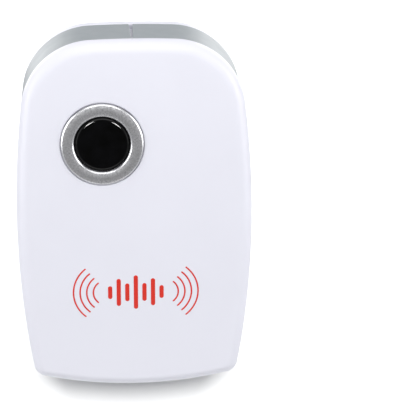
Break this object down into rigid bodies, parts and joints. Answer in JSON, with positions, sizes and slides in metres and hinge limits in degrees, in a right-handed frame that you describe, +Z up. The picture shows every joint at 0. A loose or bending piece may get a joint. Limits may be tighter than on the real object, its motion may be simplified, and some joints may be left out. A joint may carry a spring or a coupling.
{
  "type": "plug-in ultrasonic pest repeller",
  "caption": "White plug-in wall device with a domed rounded front, a grey strip round its side, a metal-ringed black window, a red wave mark and flat mains plug blades behind.",
  "frame": {"origin": "on the wall face (the rear plane), midway between the two plug blades", "axes": "+Y out of the back into the wall along the blades, +Z up as the device hangs (from the wide end to the narrow end), +X to the right seen from the front"},
  "size_m": [0.06, 0.0489, 0.093],
  "materials": {
    "housing_white": "fine satin moulded ABS, white",
    "band_grey": "satin smoke grey strip",
    "ring_metal": "fine blasted, bright turned bevels",
    "window_black": "polished black acrylic",
    "mark_red": "pad-printed ink",
    "label_silver": "blank satin film",
    "nickel": "nickel-plated brass, lightly brushed",
    "screw_steel": "zinc-plated steel",
    "inner_black": "moulded black plastic",
    "inner_white": "moulded white plastic",
    "laminate_tan": "phenolic board",
    "solder": "bright solder",
    "wire_black": "PVC insulation",
    "wire_white": "PVC insulation",
    "wire_red": "PVC insulation",
    "cement_grey": "flameproof lacquer",
    "film_yellow": "plastic box, epoxy filled",
    "lacquer_blue": "lacquered body",
    "lacquer_tan": "lacquered body",
    "lacquer_brown": "dipped lacquer",
    "glass_orange": "glass body",
    "can_sleeve": "shrunk sleeve",
    "ferrite": "sintered ferrite",
    "copper": "enamelled copper wire",
    "led_clear": "clear epoxy",
    "brass": "rolled brass",
    "piezo_cream": "fired ceramic",
    "cone_aluminium": "spun aluminium",
    "foam_grey": "closed-cell foam"
  },
  "bodies": {
    "root": {"front_cover": "housing_white", "side_band": "band_grey", "rear_housing": "housing_white", "lens_ring": "ring_metal", "lens": "window_black", "lens_retainer": "inner_white", "printed_mark": "mark_red", "rating_label": "label_silver", "case_screws": "screw_steel", "plug_blade_left": "nickel", "plug_blade_right": "nickel", "blade_retainer": "inner_white", "retainer_screws": "screw_steel", "live_wire": "wire_black", "neutral_wire": "wire_white", "live_sleeve": "wire_black", "neutral_sleeve": "wire_black", "circuit_board": "laminate_tan", "board_screws": "screw_steel", "solder_joints": "solder", "fuse_resistor": "cement_grey", "dropper_capacitor": "film_yellow", "bleed_resistor": "lacquer_blue", "rectifier_diode_1": "inner_black", "rectifier_diode_2": "inner_black", "rectifier_diode_3": "inner_black", "rectifier_diode_4": "inner_black", "zener_diode": "glass_orange", "smoothing_capacitor": "can_sleeve", "filter_capacitor": "can_sleeve", "control_chip": "inner_black", "timing_capacitor": "lacquer_brown", "coupling_capacitor": "lacquer_brown", "drive_transistor_1": "inner_black", "drive_transistor_2": "inner_black", "inductor_core": "ferrite", "inductor_winding": "copper", "resistor_1": "lacquer_tan", "resistor_2": "lacquer_tan", "resistor_3": "lacquer_tan", "resistor_4": "lacquer_tan", "led": "led_clear", "led_spacer": "inner_white", "sounder_case": "inner_black", "sounder_cover": "inner_black", "piezo_plate": "brass", "piezo_ceramic": "piezo_cream", "resonator_cone": "cone_aluminium", "sounder_gasket": "foam_grey", "sounder_wire_red": "wire_red", "sounder_wire_black": "wire_black"}
  },
  "joints": []
}
